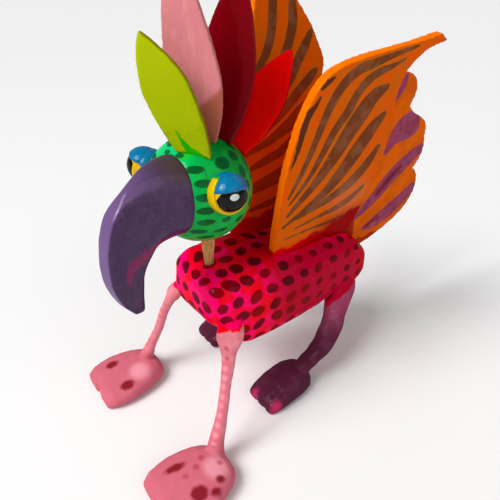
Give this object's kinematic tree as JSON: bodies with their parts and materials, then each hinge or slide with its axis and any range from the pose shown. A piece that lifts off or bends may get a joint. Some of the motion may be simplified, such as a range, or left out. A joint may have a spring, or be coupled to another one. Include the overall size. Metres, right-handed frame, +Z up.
{
  "type": "alebrije figure",
  "caption": "Carved and painted wooden winged creature with a hooked beak, feather crest and four legs; its head turns on a peg.",
  "frame": {"origin": "bottom centre of the bounding box, on the plane that the four feet stand on", "axes": "+Z up, the creature faces -Y, +X is its left side"},
  "size_m": [0.1344, 0.2372, 0.2532],
  "materials": {
    "body_paint": "hand-painted hot pink and red acrylic with dark red dots, varnished",
    "bare_wood": "bare sanded wood",
    "head_paint": "hand-painted green acrylic with dark green dots, varnished",
    "beak_paint": "hand-painted dark purple acrylic, varnished",
    "eye_paint": "hand-painted blue, black and yellow gloss enamel",
    "lime_paint": "hand-painted satin lime acrylic",
    "pink_paint": "hand-painted satin pink acrylic",
    "crimson_paint": "hand-painted gloss crimson enamel",
    "scarlet_paint": "hand-painted satin scarlet acrylic",
    "wing_paint": "hand-painted orange acrylic with brown stripes, varnished",
    "hindwing_paint": "hand-painted orange acrylic with purple patches, varnished",
    "front_leg_paint": "hand-painted rose acrylic with dark red spots",
    "rear_leg_paint": "hand-painted plum acrylic fading to dark purple"
  },
  "bodies": {
    "torso_and_legs": {"torso": "body_paint", "leg_front_left": "front_leg_paint", "leg_front_right": "front_leg_paint", "leg_rear_left": "rear_leg_paint", "leg_rear_right": "rear_leg_paint", "leg_dowel_front_left": "bare_wood", "leg_dowel_front_right": "bare_wood", "leg_dowel_rear_left": "bare_wood", "leg_dowel_rear_right": "bare_wood"},
    "neck": {"neck_peg": "bare_wood"},
    "head": {"head": "head_paint", "beak": "beak_paint", "beak_dowel": "bare_wood", "eye_left": "eye_paint", "eye_right": "eye_paint", "crest_feather_lime": "lime_paint", "crest_feather_pink": "pink_paint", "crest_feather_crimson": "crimson_paint", "crest_feather_scarlet": "scarlet_paint"},
    "wing_left": {"forewing_left": "wing_paint", "hindwing_left": "hindwing_paint"},
    "wing_right": {"forewing_right": "wing_paint", "hindwing_right": "hindwing_paint"}
  },
  "joints": [
    {"name": "neck_lift", "type": "slide", "parent": "torso_and_legs", "child": "neck", "axis": [0, 0, 1], "range_m": [0, 0.016]},
    {"name": "head_turn", "type": "hinge", "parent": "neck", "child": "head", "pos_m": [-0.00425, -0.04755, 0.148], "axis": [0, 0, 1], "range_deg": [-20, 20]},
    {"name": "wing_left_lift", "type": "slide", "parent": "torso_and_legs", "child": "wing_left", "axis": [0.1702, 0, 0.9854], "range_m": [0, 0.015]},
    {"name": "wing_right_lift", "type": "slide", "parent": "torso_and_legs", "child": "wing_right", "axis": [-0.1702, 0, 0.9854], "range_m": [0, 0.015]}
  ]
}
